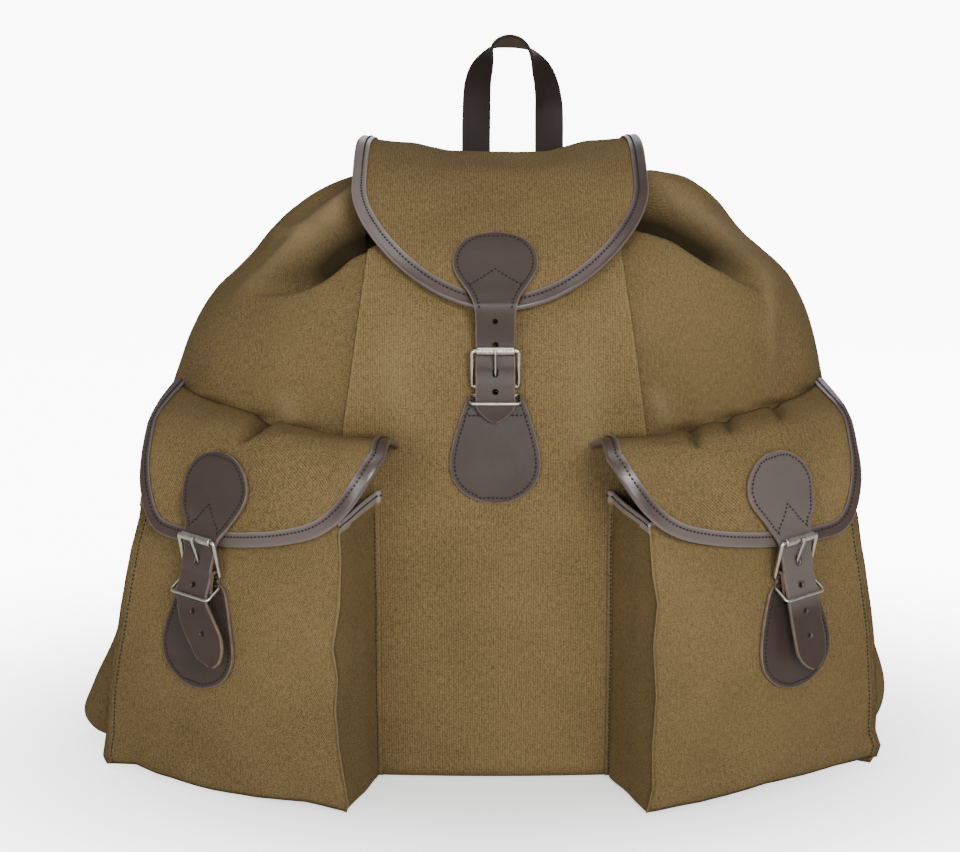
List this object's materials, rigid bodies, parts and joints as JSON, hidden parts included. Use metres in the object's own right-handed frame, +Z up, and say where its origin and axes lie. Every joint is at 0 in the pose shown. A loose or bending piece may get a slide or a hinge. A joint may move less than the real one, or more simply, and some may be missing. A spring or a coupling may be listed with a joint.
{
  "type": "hunting rucksack",
  "caption": "Canvas rucksack with a leather-bound flap over a gathered neck, buckled front pockets, roller-buckle straps and a carrying handle, standing by itself",
  "frame": {"origin": "middle of the base, on the surface the bag stands on", "axes": "+Z up, -Y out of the front with the pockets, +X to the right as seen from the front"},
  "size_m": [0.556, 0.3292, 0.4792],
  "materials": {
    "canvas": "coarse ribbed cotton canvas, faded and creased",
    "leather": "dark brown oiled leather, rubbed at its edges",
    "metal": "dull nickel plate"
  },
  "bodies": {
    "root": {"sack": "canvas", "top_flap": "canvas", "left_pocket": "canvas", "left_pocket_flap": "canvas", "right_pocket": "canvas", "right_pocket_flap": "canvas", "back_yoke": "leather", "handle": "leather", "top_strap": "leather", "top_chape": "leather", "top_flap_binding": "leather", "left_pocket_flap_binding": "leather", "left_strap": "leather", "left_chape": "leather", "left_shoulder_strap": "leather", "left_strap_anchor": "leather", "right_pocket_flap_binding": "leather", "right_strap": "leather", "right_chape": "leather", "right_shoulder_strap": "leather", "right_strap_anchor": "leather", "top_buckle_frame": "metal", "top_buckle_roller": "metal", "top_buckle_tongue": "metal", "top_keeper": "metal", "left_buckle_frame": "metal", "left_buckle_roller": "metal", "left_buckle_tongue": "metal", "left_keeper": "metal", "right_buckle_frame": "metal", "right_buckle_roller": "metal", "right_buckle_tongue": "metal", "right_keeper": "metal"}
  },
  "joints": []
}
